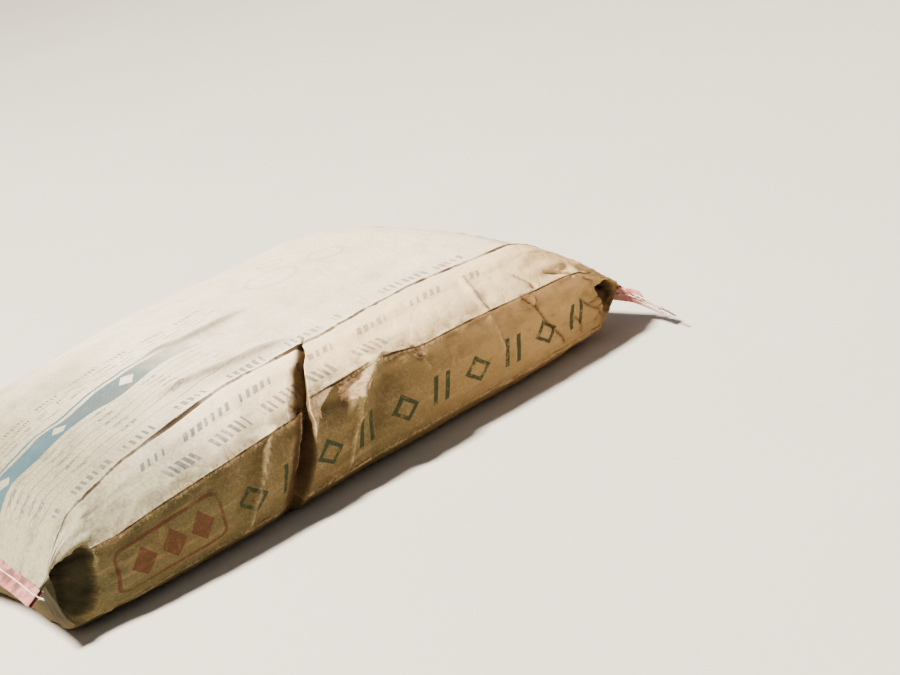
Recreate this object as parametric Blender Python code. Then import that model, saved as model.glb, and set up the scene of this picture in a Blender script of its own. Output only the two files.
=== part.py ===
# A filled and sewn 50 kg cement sack, lying flat. Metres, X along the sack, Z up.
# The side with the deep wrinkle faces -Y. The end with the tape tail is at +X.
#
# A place round the sack is given as a crease number. The creases, in order, are
# 0 the lower and 1 the middle and 2 the upper crease of the -Y gusset,
# 3 the upper and 4 the middle and 5 the lower crease of the +Y gusset, and 6 is 0 again.
# So 2 to 3 is the top face and 5 to 6 is the underside.
import math

import bpy
import numpy as np

# The empty sack, laid flat
SACK_WIDTH = 0.425
GUSSET_PANEL = 0.075

# The filled sack
BETWEEN_LIPS = 0.690
FILLED_WIDTH = 0.468
FULL_HEIGHT = 0.148
CROWN = 0.155
CROWN_AT = 0.055
END_ZONE = 0.150

# The sewn ends, keyed by -1 for the near end and 1 for the far end
NEAR = -1
FAR = 1
LIP_LENGTH = 0.023
LIP_THICKNESS = 0.0022
LIP_THICKNESS_AT_GUSSET = 0.0032
LIP_STEP = 0.020
SEAM_HEIGHT = {NEAR: 0.061, FAR: 0.047}
SEAM_RISE = {NEAR: 0.011, FAR: 0.010}
SEAM_BOW = {NEAR: 0.020, FAR: 0.016}
LIP_DROOP = {NEAR: math.radians(20), FAR: math.radians(74)}
LIP_TWIST = 0.10
TOP_RUN = {NEAR: 0.076, FAR: 0.095}
BOTTOM_RUN = {NEAR: 0.034, FAR: 0.052}

# Corner pockets by end and side: start and end behind the lip, depth, and the shares
# of the upper and lower gusset panel that stay outside at the start
POCKET = {
    (NEAR, -1): (0.007, 0.048, 0.036, 0.0, 0.0),
    (FAR, -1): (0.005, 0.032, 0.026, 0.40, 0.50),
    (NEAR, 1): (0.007, 0.054, 0.036, 0.1, 0.1),
    (FAR, 1): (0.005, 0.050, 0.034, 0.2, 0.2),
}
POCKET_WALL = 0.003

# Binding tape, folded over the lip
TAPE_COVER = 0.017
TAPE_THICKNESS = 0.0008
TAPE_CLEARANCE = 0.0003
TAPE_PAST_BACK = 0.002
TAPE_TAIL = {NEAR: 0.004, FAR: 0.058}
TAPE_CLOSES_IN = 0.012
TAIL_DROP = 0.012
TAIL_SWING = 0.06

# Double thread chain stitch along the tape
THREAD_DIAMETER = 0.0012
THREAD_CLEARANCE = 0.0003
STITCH_FROM_EDGE = 0.010
THREAD_PAST_BACK = 0.006
THREAD_TAIL = {NEAR: 0.014, FAR: 0.078}

# The full section: crease number, y as a share of half the filled width, height share
SECTION = (
    (0.00, -0.955, 0.110),
    (0.49, -0.996, 0.350),
    (1.00, -0.972, 0.630),
    (1.49, -0.860, 0.800),
    (2.00, -0.720, 0.895),
    (2.19, -0.392, 0.965),
    (2.42, 0.030, 1.000),
    (2.66, 0.447, 0.965),
    (2.85, 0.772, 0.850),
    (3.00, 0.965, 0.640),
    (3.49, 0.998, 0.360),
    (4.00, 0.930, 0.100),
    (4.53, 0.800, 0.000),
    (5.00, 0.655, 0.000),
    (5.30, 0.160, 0.000),
    (5.60, -0.345, 0.000),
    (5.91, -0.845, 0.000),
)
FLAT_FROM = 4.53
FLAT_TO = 5.91

# Deep wrinkle on the -Y side: x where it crosses the upper, middle and lower crease
WRINKLE_X = (0.006, -0.062, -0.096)
WRINKLE_DEPTH = 0.026
WRINKLE_HALF_WIDTH = 0.013
WRINKLE_BAND = 0.045
WRINKLE_LEAN = 0.150

# Slow lumps of the powder under the paper
SWELL = 0.0018
SWELL_LENGTH = 0.370
SWELL_SHORT_LENGTH = 0.203

# Mesh steps
FACE_STEPS = 16
PANEL_STEPS = 5
ZONE_STEPS = 11
TUBE_SIDES = 6


def clear_scene():
    for old in list(bpy.data.objects):
        bpy.data.objects.remove(old, do_unlink=True)
    for old in list(bpy.data.meshes):
        bpy.data.meshes.remove(old)


def columns():
    """Crease numbers of the mesh columns, one loop round the sack."""
    gusset = np.arange(2 * PANEL_STEPS) / PANEL_STEPS
    face = np.arange(FACE_STEPS) / FACE_STEPS
    return np.concatenate([gusset, 2 + face, 3 + gusset, 5 + face])


def full_section(c):
    """y and height share of the full section at crease number c, by a cubic through SECTION."""
    rows = np.array(SECTION)
    turn = np.array([6.0, 0.0, 0.0])
    rows = np.concatenate([rows[-2:] - turn, rows, rows[:3] + turn])
    keys = rows[:, 0]
    i = np.clip(np.searchsorted(keys, c, side="right") - 1, 1, len(keys) - 3)
    span = keys[i + 1] - keys[i]
    u = (c - keys[i]) / span
    found = []
    for column in (1, 2):
        a = rows[i, column]
        b = rows[i + 1, column]
        slope_a = (b - rows[i - 1, column]) / (keys[i + 1] - keys[i - 1]) * span
        slope_b = (rows[i + 2, column] - a) / (keys[i + 2] - keys[i]) * span
        found.append(
            (2 * u**3 - 3 * u**2 + 1) * a
            + (u**3 - 2 * u**2 + u) * slope_a
            + (3 * u**2 - 2 * u**3) * b
            + (u**3 - u**2) * slope_b
        )
    y = found[0] * FILLED_WIDTH / 2
    flat = (c >= FLAT_FROM) & (c <= FLAT_TO)
    share = np.where(flat, 0.0, np.maximum(found[1], 0.0))
    return y, share


def on_top(c):
    """1 on the top face, 0 on the underside, between them on the gussets."""
    return np.interp(c, (0, 2, 3, 5, 6), (0.0, 1.0, 1.0, 0.0, 0.0))


def sheet_y(c):
    """How far across the flat sewn end the outer paper at crease number c lies."""
    half = SACK_WIDTH / 2
    return np.interp(c, (0, 2, 3, 5, 6), (-half, -half, half, half, -half))


def crown(x):
    """The sack is thickest near mid length and thinner toward both ends."""
    reach = BETWEEN_LIPS / 2 - END_ZONE / 2
    off = np.minimum(np.abs(x - CROWN_AT), reach + CROWN_AT)
    return 1.0 - CROWN * (off / reach) ** 2


def across(y):
    """Place across the sewn end, -1 to 1, and how near the middle it is."""
    share = np.clip(y / (SACK_WIDTH / 2), -1.0, 1.0)
    return share, 1.0 - share**2


def seam_root(end, y):
    """x and z of the line where the flat lip starts, at y across the sack."""
    share, middle = across(y)
    x = end * (BETWEEN_LIPS / 2 - SEAM_BOW[end] * middle)
    ripple = SWELL * np.sin(9.0 * share + 1.3 * end) * middle
    z = SEAM_HEIGHT[end] + SEAM_RISE[end] * middle + ripple
    return x, z


def lip_thickness(y):
    """The lip is thicker at both sides, where the gusset panels are folded in between."""
    inner = SACK_WIDTH / 2 - GUSSET_PANEL
    outer = inner + LIP_STEP
    return np.interp(np.abs(y), (inner, outer), (LIP_THICKNESS, LIP_THICKNESS_AT_GUSSET))


def lip_frame(end, y):
    """Outward direction in the lip and its upper normal, as (x, z) pairs."""
    share, middle = across(y)
    droop = LIP_DROOP[end] + LIP_TWIST * np.sin(4.0 * share + end)
    along = (end * np.cos(droop), -np.sin(droop))
    normal = (end * np.sin(droop), np.cos(droop))
    return along, normal


def tuck(end, distance, c):
    """How far the gusset is pushed inward behind the lip to make the corner pockets."""
    inward = np.zeros_like(c)
    for side, first, last in ((-1, 0, 2), (1, 3, 5)):
        start, apex, depth, upper_out, lower_out = POCKET[(end, side)]
        if not start < distance < apex:
            continue
        run = (distance - start) / (apex - start)
        opening = min(1.0, (distance - start) / POCKET_WALL) * (1.0 - run) ** 0.8
        inside = (c > first) & (c < last)
        from_edge = np.minimum(c - first, last - c)
        is_upper = (c > first + 1) if side < 0 else (c < first + 1)
        upper_fold = upper_out + (0.85 - upper_out) * run
        lower_fold = lower_out + (0.85 - lower_out) * run**3
        fold = np.where(is_upper, upper_fold, lower_fold)
        ramp = np.clip((from_edge - fold) / (1.0 - fold), 0.0, 1.0)
        inward = np.where(inside, side * depth * opening * ramp, inward)
    return inward


def end_row(end, distance, c):
    """One ring of the sack's skin at a distance behind the start of the lip."""
    y_flat = sheet_y(c)
    y_full, share = full_section(c)
    root_x, root_z = seam_root(end, y_flat)
    up = on_top(c)
    run = BOTTOM_RUN[end] + (TOP_RUN[end] - BOTTOM_RUN[end]) * up
    u = np.clip(distance / run, 0.0, 1.0)
    top_rise = (1.0 - (1.0 - u) ** 1.8) ** 1.05
    bottom_rise = (1.0 - (1.0 - u) ** 2.2) ** 0.8
    rise = bottom_rise + (top_rise - bottom_rise) * up
    closing = 1.0 - (1.0 - min(distance / END_ZONE, 1.0)) ** 2
    level_x = end * (BETWEEN_LIPS / 2 - distance)
    x = level_x + (root_x - end * BETWEEN_LIPS / 2) * (1.0 - closing)
    y = y_flat + (y_full - y_flat) * closing - tuck(end, distance, c)
    thickness = lip_thickness(y_flat) * (up - 0.5) * (1.0 - rise)
    z_full = share * FULL_HEIGHT * crown(level_x)
    z = root_z + thickness + (z_full - root_z) * rise
    return np.stack([x, y, z], axis=-1)


def lip_row(end, reach, c):
    """One ring of the flat sewn lip, reach metres out from where it starts."""
    y = sheet_y(c)
    root_x, root_z = seam_root(end, y)
    along, normal = lip_frame(end, y)
    off = lip_thickness(y) * (on_top(c) - 0.5)
    x = root_x + along[0] * reach + normal[0] * off
    z = root_z + along[1] * reach + normal[1] * off
    return np.stack([x, y, z], axis=-1)


def wrinkle_centre(c):
    """Crease number counted from the -Y gusset both ways, and x of the wrinkle's floor there."""
    wrapped = np.where(c > 4.5, c - 6.0, c)
    return wrapped, np.interp(wrapped, (0, 1, 2), WRINKLE_X[::-1])


def slanted(mark, c):
    """x of the mesh row that starts at mark, leaning to follow the wrinkle near it."""
    wrapped, centre = wrinkle_centre(c)
    middle = WRINKLE_X[1]
    near = max(0.0, 1.0 - ((mark - middle) / WRINKLE_LEAN) ** 2)
    round_about = np.interp(wrapped, (-0.4, -0.05, 2.1, 2.5), (0.0, 1.0, 1.0, 0.0))
    return mark + (centre - middle) * near * round_about


def wrinkle(x, c):
    """Depth of the side wrinkle at x, negative where the paper beside it stands out."""
    wrapped, centre = wrinkle_centre(c)
    strength = np.interp(
        wrapped,
        (-0.10, 0.0, 0.6, 1.05, 1.5, 2.0, 2.09),
        (0.0, 0.75, 1.0, 0.75, 0.45, 0.28, 0.0),
    )
    off = (x - centre) / WRINKLE_HALF_WIDTH
    valley = np.exp(-(off**2))
    right_lip = 0.30 * np.exp(-((off - 2.3) ** 2))
    left_lip = 0.18 * np.exp(-((off + 2.3) ** 2) / 1.4)
    return WRINKLE_DEPTH * strength * (valley - right_lip - left_lip)


def swell(x, c):
    """Slow lumps of the powder, on the top and the sides only."""
    wave = np.sin(math.tau * x / SWELL_LENGTH + 0.8) * np.sin(1.9 * c + 0.5)
    wave += 0.6 * np.sin(math.tau * x / SWELL_SHORT_LENGTH + 2.4 * c)
    return SWELL * wave * on_top(c)


def body_row(mark, last, c):
    """One ring of the sack's full part, which runs from -last to last."""
    y, share = full_section(c)
    x = slanted(mark, c)
    z = share * FULL_HEIGHT * crown(x)
    z = z + swell(x, c) * (1.0 - (mark / last) ** 4)
    depth = wrinkle(x, c)
    sunk = 0.35 * depth * np.interp(c, (1, 2, 2.5, 6), (0.0, 1.0, 0.0, 0.0))
    return np.stack([x, y + depth, z - sunk], axis=-1)


def zone_marks(end):
    """Distances of the end rows behind the lip, with rows at the edges of the pockets."""
    wanted = []
    for side in (-1, 1):
        start, apex = POCKET[(end, side)][:2]
        wanted += [start, start + POCKET_WALL, apex]
    wanted += [END_ZONE * (step / ZONE_STEPS) ** 1.6 for step in range(1, ZONE_STEPS)]
    kept = []
    for mark in wanted:
        if all(abs(mark - other) > 0.8 * POCKET_WALL for other in kept):
            kept.append(mark)
    return sorted(kept)


def body_marks(last):
    """Places of the full rows, close together at the wrinkle."""
    middle = WRINKLE_X[1]
    before = np.linspace(-last, middle - WRINKLE_BAND, 7)[:-1]
    at_wrinkle = np.linspace(middle - WRINKLE_BAND, middle + WRINKLE_BAND, 13)
    after = np.linspace(middle + WRINKLE_BAND, last, 8)[1:]
    return np.concatenate([before, at_wrinkle, after])


def sack_rings():
    """Every ring of the sack from the near lip edge to the far lip edge."""
    c = columns()
    reaches = (LIP_LENGTH, 0.5 * LIP_LENGTH, 0.0)
    last = BETWEEN_LIPS / 2 - END_ZONE
    rings = [lip_row(NEAR, reach, c) for reach in reaches]
    rings += [end_row(NEAR, distance, c) for distance in zone_marks(NEAR)]
    rings += [body_row(mark, last, c) for mark in body_marks(last)]
    rings += [end_row(FAR, distance, c) for distance in zone_marks(FAR)[::-1]]
    rings += [lip_row(FAR, reach, c) for reach in reaches[::-1]]
    return np.array(rings)


def paint(name, colour, roughness):
    made = bpy.data.materials.new(name)
    made.use_nodes = True
    shader = made.node_tree.nodes["Principled BSDF"]
    shader.inputs["Base Color"].default_value = (*colour, 1.0)
    shader.inputs["Roughness"].default_value = roughness
    return made


def make_object(name, points, faces, material):
    mesh = bpy.data.meshes.new(name)
    mesh.from_pydata([tuple(map(float, point)) for point in points], [], faces)
    mesh.validate()
    mesh.materials.append(material)
    mesh.shade_smooth()
    made = bpy.data.objects.new(name, mesh)
    bpy.context.scene.collection.objects.link(made)
    return made


def loop_faces(rows, around):
    """Quads between rings of equal length."""
    faces = []
    for row in range(rows - 1):
        for column in range(around):
            a = row * around + column
            b = row * around + (column + 1) % around
            faces.append((a, b, b + around, a + around))
    return faces


def lip_edge_faces(rows, around):
    """Both lip edges, each closed by quads between top and underside and a fan at each side."""
    faces = []
    side = 2 * PANEL_STEPS
    for first, flip in ((0, True), ((rows - 1) * around, False)):
        top = [first + side + k for k in range(FACE_STEPS + 1)]
        under = [first + (around - k) % around for k in range(FACE_STEPS + 1)]
        far = first + side + FACE_STEPS
        edge = [(top[k], under[k], under[k + 1], top[k + 1]) for k in range(FACE_STEPS)]
        edge += [(top[0], first + k, first + k - 1) for k in range(1, side)]
        edge += [(far + side, far + k, far + k - 1) for k in range(1, side)]
        faces += [face[::-1] for face in edge] if flip else edge
    return faces


def build_sack():
    rings = sack_rings()
    rows, around = rings.shape[:2]
    faces = [face[::-1] for face in loop_faces(rows, around)]
    faces += lip_edge_faces(rows, around)
    kraft = paint("kraft_paper", (0.42, 0.30, 0.17), 0.9)
    return make_object("sack", rings.reshape(-1, 3), faces, kraft)


def seam_stations(end):
    """y of each station along a tape, from the back corner to the cut tail at the front."""
    half = SACK_WIDTH / 2
    over_lip = np.linspace(half, -half, FACE_STEPS + 1)
    tail = -half - np.linspace(0.0, 1.0, 7)[1:] * TAPE_TAIL[end]
    return np.concatenate([[half + TAPE_PAST_BACK], over_lip, tail])


def seam_point(end, y, reach, off):
    """A point on the lip's plane at y, or on the tail's straight run past the corner."""
    root_x, root_z = seam_root(end, y)
    along, normal = lip_frame(end, y)
    past = max(0.0, -SACK_WIDTH / 2 - y)
    sag = TAIL_DROP * (past / TAPE_TAIL[FAR]) ** 1.5
    x = root_x + along[0] * reach + normal[0] * off - end * TAIL_SWING * past
    z = root_z + along[1] * reach + normal[1] * off - sag
    return (x, y, z)


def tape_opening(y):
    """Half the gap inside the folded tape: round the lip, and nearly shut past its corner."""
    on_lip = lip_thickness(y) / 2 + TAPE_CLEARANCE
    shut = TAPE_THICKNESS / 2
    past = max(0.0, -SACK_WIDTH / 2 - y)
    return on_lip + (shut - on_lip) * min(1.0, past / TAPE_CLOSES_IN)


def tape_profile(inner):
    """Folded tape round the lip's edge, as reach and offset pairs."""
    start = LIP_LENGTH - TAPE_COVER
    outer = inner + TAPE_THICKNESS
    fold = LIP_LENGTH + TAPE_CLEARANCE
    crest = fold + TAPE_THICKNESS
    shoulder = LIP_LENGTH - TAPE_THICKNESS
    return (
        (start, outer),
        (shoulder, outer),
        (crest, 0.45 * outer),
        (crest, -0.45 * outer),
        (shoulder, -outer),
        (start, -outer),
        (start, -inner),
        (fold, -inner),
        (fold, inner),
        (start, inner),
    )


def swept(name, rings, material):
    """A closed solid through rings of equal length, with a flat cap at each end."""
    rows, around = len(rings), len(rings[0])
    faces = loop_faces(rows, around)
    last = (rows - 1) * around
    faces.append(tuple(range(around))[::-1])
    faces.append(tuple(last + k for k in range(around)))
    points = [point for ring in rings for point in ring]
    return make_object(name, points, faces, material)


def build_tape(name, end):
    rings = []
    for y in seam_stations(end):
        profile = tape_profile(tape_opening(y))
        rings.append([seam_point(end, y, reach, off) for reach, off in profile])
    if end == FAR:
        rings = [ring[::-1] for ring in rings]
    return swept(name, rings, paint(name, (0.75, 0.36, 0.32), 0.85))


def build_thread(name, end, upper):
    """One thread of the chain stitch, laid along the tape's upper or lower face."""
    radius = THREAD_DIAMETER / 2
    half = SACK_WIDTH / 2
    loose = -half - np.linspace(TAPE_TAIL[end], THREAD_TAIL[end], 4)[1:]
    rings = []
    for y in np.concatenate([[half + THREAD_PAST_BACK], seam_stations(end), loose]):
        off = tape_opening(y) + TAPE_THICKNESS + THREAD_CLEARANCE + radius
        middle = off if upper else -off
        ring = []
        for k in range(TUBE_SIDES):
            turn = 2 * math.pi * k / TUBE_SIDES
            reach = LIP_LENGTH - STITCH_FROM_EDGE + radius * math.cos(turn)
            ring.append(seam_point(end, y, reach, middle + radius * math.sin(turn)))
        rings.append(ring)
    if end == NEAR:
        rings = [ring[::-1] for ring in rings]
    return swept(name, rings, paint(name, (0.85, 0.82, 0.76), 0.8))


def build():
    clear_scene()
    build_sack()
    for end, where in ((NEAR, "near"), (FAR, "far")):
        build_tape("tape_" + where, end)
        build_thread("needle_thread_" + where, end, True)
        build_thread("looper_thread_" + where, end, False)


build()
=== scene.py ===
import math
from types import SimpleNamespace

import bpy
import numpy as np
from mathutils import Matrix, Vector


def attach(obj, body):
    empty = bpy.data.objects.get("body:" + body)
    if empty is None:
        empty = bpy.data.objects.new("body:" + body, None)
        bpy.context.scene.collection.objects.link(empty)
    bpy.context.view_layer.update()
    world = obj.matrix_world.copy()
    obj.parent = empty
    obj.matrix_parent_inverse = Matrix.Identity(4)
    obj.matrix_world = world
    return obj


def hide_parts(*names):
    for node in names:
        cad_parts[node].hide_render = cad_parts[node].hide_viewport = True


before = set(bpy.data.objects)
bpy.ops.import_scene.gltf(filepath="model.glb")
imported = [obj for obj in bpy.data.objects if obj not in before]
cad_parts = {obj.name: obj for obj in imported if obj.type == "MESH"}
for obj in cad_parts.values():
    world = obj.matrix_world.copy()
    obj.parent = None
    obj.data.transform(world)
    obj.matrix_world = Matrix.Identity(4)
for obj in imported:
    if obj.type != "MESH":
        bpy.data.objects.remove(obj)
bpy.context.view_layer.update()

# Sizes of the sack, as in its CAD model. Metres, X along the sack, Z up.
SACK_WIDTH = 0.425
GUSSET_PANEL = 0.075
BETWEEN_LIPS = 0.690
FILLED_WIDTH = 0.468
FULL_HEIGHT = 0.148
CROWN = 0.155
CROWN_AT = 0.055
END_ZONE = 0.150
NEAR = -1
FAR = 1
LIP_LENGTH = 0.023
LIP_THICKNESS = 0.0022
LIP_THICKNESS_AT_GUSSET = 0.0032
LIP_STEP = 0.020
SEAM_HEIGHT = {NEAR: 0.061, FAR: 0.047}
SEAM_RISE = {NEAR: 0.011, FAR: 0.010}
SEAM_BOW = {NEAR: 0.020, FAR: 0.016}
LIP_DROOP = {NEAR: math.radians(20), FAR: math.radians(74)}
LIP_TWIST = 0.10
TOP_RUN = {NEAR: 0.076, FAR: 0.095}
BOTTOM_RUN = {NEAR: 0.034, FAR: 0.052}
POCKET_WALL = 0.003
CORNER_SPREAD = 0.013
POCKET_FALL = 0.35
POCKET_FLARE = 0.70
LOWER_FOLD_TURN = 9
TAPE_COVER = 0.017
TAPE_THICKNESS = 0.0008
TAPE_CLEARANCE = 0.0003
TAPE_PAST_BACK = 0.002
TAPE_TAIL = {NEAR: 0.004, FAR: 0.058}
TAPE_CLOSES_IN = 0.012
TAIL_DROP = 0.012
TAIL_SWING = 0.06
THREAD_DIAMETER = 0.0012
STITCH_FROM_EDGE = 0.010
THREAD_PAST_BACK = 0.006
THREAD_TAIL = {NEAR: 0.014, FAR: 0.078}
SECTION = (
    (0.00, -0.955, 0.110),
    (0.49, -0.996, 0.350),
    (1.00, -0.972, 0.630),
    (1.49, -0.860, 0.800),
    (2.00, -0.720, 0.895),
    (2.19, -0.392, 0.965),
    (2.42, 0.030, 1.000),
    (2.66, 0.447, 0.965),
    (2.85, 0.772, 0.850),
    (3.00, 0.965, 0.640),
    (3.49, 0.998, 0.360),
    (4.00, 0.930, 0.100),
    (4.53, 0.800, 0.000),
    (5.00, 0.655, 0.000),
    (5.30, 0.160, 0.000),
    (5.60, -0.345, 0.000),
    (5.91, -0.845, 0.000),
)
FLAT_FROM = 4.53
FLAT_TO = 5.91
SWELL = 0.0018
SWELL_LENGTH = 0.370
SWELL_SHORT_LENGTH = 0.203
GIRTH = 2 * SACK_WIDTH + 4 * GUSSET_PANEL
HALF_LENGTH = BETWEEN_LIPS / 2
HALF_WIDTH = SACK_WIDTH / 2

# Corner pockets: start, apex, depth, and how far out the upper and the lower flap stand. The flaps of
# the two that show stand further out than in the CAD model.
POCKET = {
    (NEAR, -1): (0.007, 0.048, 0.036, 0.74, 0.0),
    (FAR, -1): (0.005, 0.032, 0.026, 0.40, 0.08),
    (NEAR, 1): (0.007, 0.054, 0.036, 0.1, 0.1),
    (FAR, 1): (0.005, 0.050, 0.034, 0.2, 0.2),
}
# The far one that shows has its fold lower: crease number, and the number that it counts as
FAR_POCKET_FOLD = ((0.0, 0.60, 0.90, 2.0), (0.0, 1.0, 1.5, 2.0))

MM = 0.001

# Creases have numbers: 0 lower, 1 middle and 2 upper crease of the -Y gusset, then 3 upper, 4 middle and
# 5 lower crease of the +Y gusset. 6 is 0 again. These are their places round the flat paper.
CREASE_AT = (
    0.0,
    GUSSET_PANEL,
    2 * GUSSET_PANEL,
    2 * GUSSET_PANEL + SACK_WIDTH,
    3 * GUSSET_PANEL + SACK_WIDTH,
    4 * GUSSET_PANEL + SACK_WIDTH,
    GIRTH,
)
LOWER, MIDDLE, UPPER, BACK_UPPER, BACK_MIDDLE = CREASE_AT[:5]


# The skin's plain shape

def smooth(low, high, value):
    """0 at low and 1 at high, eased at both; low may be the larger."""
    t = np.clip((value - low) / (high - low), 0.0, 1.0)
    return t * t * (3.0 - 2.0 * t)


def bell(off, width):
    return np.exp(-((off / width) ** 2))


def paper_place(c):
    """Distance round the flat sack from the lower -Y crease to crease number c."""
    return np.interp(c, range(7), CREASE_AT)


def wrapped(c):
    """Crease numbers with those past the +Y gusset's middle taken as below 0."""
    return np.where(c > 4.5, c - 6.0, c)


def full_section(c):
    """Y and share of the height of the full sack's section, smooth through the SECTION rows."""
    rows = np.array(SECTION)
    turn = np.array([6.0, 0.0, 0.0])
    rows = np.concatenate([rows[-2:] - turn, rows, rows[:3] + turn])
    keys, values = rows[:, 0], rows[:, 1:]
    slopes = (values[2:] - values[:-2]) / (keys[2:] - keys[:-2])[:, None]
    i = np.clip(np.searchsorted(keys, c, side="right") - 1, 1, len(keys) - 3)
    span = (keys[i + 1] - keys[i])[..., None]
    u = (c - keys[i])[..., None] / span
    found = (2 * u**3 - 3 * u**2 + 1) * values[i] + (3 * u**2 - 2 * u**3) * values[i + 1]
    found += ((u**3 - 2 * u**2 + u) * slopes[i - 1] + (u**3 - u**2) * slopes[i]) * span
    flat = (c >= FLAT_FROM) & (c <= FLAT_TO)
    return found[..., 0] * FILLED_WIDTH / 2, np.where(flat, 0.0, np.maximum(found[..., 1], 0.0))


def on_top(c):
    """1 on the upper sheet of a flat sack and 0 on the lower one."""
    return np.interp(c, (0, 2, 3, 5, 6), (0.0, 1.0, 1.0, 0.0, 0.0))


def sheet_y(c):
    return HALF_WIDTH * np.interp(c, (0, 2, 3, 5, 6), (-1, -1, 1, 1, -1))


def crown(x):
    reach = HALF_LENGTH - END_ZONE / 2
    off = np.minimum(np.abs(x - CROWN_AT), reach + CROWN_AT)
    return 1.0 - CROWN * (off / reach) ** 2


def by_end(end, pair):
    return np.where(np.asarray(end) < 0, pair[NEAR], pair[FAR])


def seam_root(end, y):
    """Where a sewn lip leaves the sack, as x and z."""
    share = np.clip(y / HALF_WIDTH, -1.0, 1.0)
    middle = 1.0 - share**2
    x = end * (HALF_LENGTH - by_end(end, SEAM_BOW) * middle)
    ripple = SWELL * np.sin(9.0 * share + 1.3 * end) * middle
    return x, by_end(end, SEAM_HEIGHT) + by_end(end, SEAM_RISE) * middle + ripple


def lip_thickness(y):
    inner = HALF_WIDTH - GUSSET_PANEL
    return np.interp(np.abs(y), (inner, inner + LIP_STEP), (LIP_THICKNESS, LIP_THICKNESS_AT_GUSSET))


def lip_point(end, y, reach, off):
    """A place on a lip, reach along it and off across it, as x and z."""
    root_x, root_z = seam_root(end, y)
    share = np.clip(y / HALF_WIDTH, -1.0, 1.0)
    droop = by_end(end, LIP_DROOP) + LIP_TWIST * np.sin(4.0 * share + end)
    x = root_x + end * np.cos(droop) * reach + end * np.sin(droop) * off
    return x, root_z - np.sin(droop) * reach + np.cos(droop) * off


def tuck(level, distance, c):
    """Inward depth of the four corner pockets, positive toward +Y."""
    inward = np.zeros(distance.shape)
    for (end, side), (start, apex, depth, upper_out, lower_out) in POCKET.items():
        first = 0 if side < 0 else 3
        last = first + 2
        folded = np.interp(c, *FAR_POCKET_FOLD) if (end, side) == (FAR, -1) else c
        run = np.clip((distance - start) / (apex - start), 0.0, 1.0)
        wall = smooth(0.0, POCKET_WALL, distance - start)
        from_edge = np.minimum(folded - first, last - folded)
        is_upper = (folded > first + 1) if side < 0 else (folded < first + 1)
        upper_fold = upper_out + (0.85 - upper_out) * run
        lower_fold = lower_out + (0.85 - lower_out) * run**LOWER_FOLD_TURN
        fold = np.where(is_upper, upper_fold, lower_fold)
        ramp = np.clip((from_edge - fold) / (1.0 - fold), 0.0, 1.0) ** POCKET_FLARE
        here = (c > first) & (c < last) & (np.sign(level) == end) & (distance < apex)
        inward = np.where(here, side * depth * wall * (1.0 - run) ** POCKET_FALL * ramp, inward)
    return inward


def plain_skin(level, c):
    """The sack's plain skin between the lips, at lengthwise place level and crease number c."""
    end = np.where(level < 0, -1.0, 1.0)
    distance = HALF_LENGTH - np.abs(level)
    y_flat = sheet_y(c)
    y_full, share = full_section(c)
    root_x, root_z = seam_root(end, y_flat)
    up = on_top(c)
    run = by_end(end, BOTTOM_RUN) + (by_end(end, TOP_RUN) - by_end(end, BOTTOM_RUN)) * up
    u = np.clip(distance / run, 0.0, 1.0)
    top_rise = (1.0 - (1.0 - u) ** 1.8) ** 1.05
    bottom_rise = (1.0 - (1.0 - u) ** 2.2) ** 0.8
    rise = bottom_rise + (top_rise - bottom_rise) * up
    closing = 1.0 - (1.0 - np.minimum(distance / END_ZONE, 1.0)) ** 2
    x = level + (root_x - end * HALF_LENGTH) * (1.0 - closing)
    low_corner = bell(np.where(c > 3.0, c - 6.0, c) + 0.02, 0.42) * (level < 0)
    x = x - CORNER_SPREAD * low_corner * smooth(0.0, 0.03, distance) * smooth(0.11, 0.03, distance)
    y = y_flat + (y_full - y_flat) * closing - tuck(level, distance, c)
    thickness = lip_thickness(y_flat) * (up - 0.5) * (1.0 - rise)
    z_full = share * FULL_HEIGHT * crown(level)
    z = root_z + thickness + (z_full - root_z) * rise
    wave = np.sin(math.tau * level / SWELL_LENGTH + 0.8) * np.sin(1.9 * c + 0.5)
    wave = wave + 0.6 * np.sin(math.tau * level / SWELL_SHORT_LENGTH + 2.4 * c)
    z = z + SWELL * wave * up * smooth(0.0, END_ZONE, distance)
    return np.stack([x, y, z], axis=-1)


def plain_lip(end, reach, c):
    y = sheet_y(c)
    x, z = lip_point(end, y, reach, lip_thickness(y) * (on_top(c) - 0.5))
    return np.stack([x, y, z], axis=-1)


# The fine skin's grid

# Gaps between the columns of each panel, in millimetres: first crease, width, gap beside the creases
# and widest gap. The top face has a table of its own: place from its -Y edge, gap.
PANEL_GAPS = (
    (0, GUSSET_PANEL, 0.8, 2.4),
    (1, GUSSET_PANEL, 0.6, 2.5),
    (3, GUSSET_PANEL, 2.0, 4.2),
    (4, GUSSET_PANEL, 2.0, 4.2),
    (5, SACK_WIDTH, 2.2, 12.0),
)
TOP_GAPS = ((0, 0.7), (10, 2.7), (180, 2.7), (225, 5.0), (406, 5.0), (425, 1.0))
GAP_GROWTH = 0.22

# Gaps between the rows, in millimetres: lengthwise place, gap. Dense at the wrinkle and the pockets.
ROW_GAPS = (
    (-368, 3.6), (-346, 2.2), (-341, 1.0), (-333, 1.0), (-325, 1.9), (-290, 2.3), (-195, 3.4), (-100, 3.1),
    (-78, 1.8), (-53, 1.5), (-50, 0.8), (-42, 0.8), (-38, 1.6), (-10, 2.6), (60, 2.9), (195, 2.7),
    (290, 2.2), (325, 1.9), (333, 1.0), (341, 1.0), (346, 2.2), (368, 3.6),
)


def spaced(t, gap):
    """Places along t, without its last one, that are as far apart as gap tells."""
    density = np.concatenate([[0.0], np.cumsum(0.5 * (1 / gap[1:] + 1 / gap[:-1])) * (t[1] - t[0])])
    count = int(round(density[-1]))
    return np.interp(np.arange(count) / count * density[-1], density, t)


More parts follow.
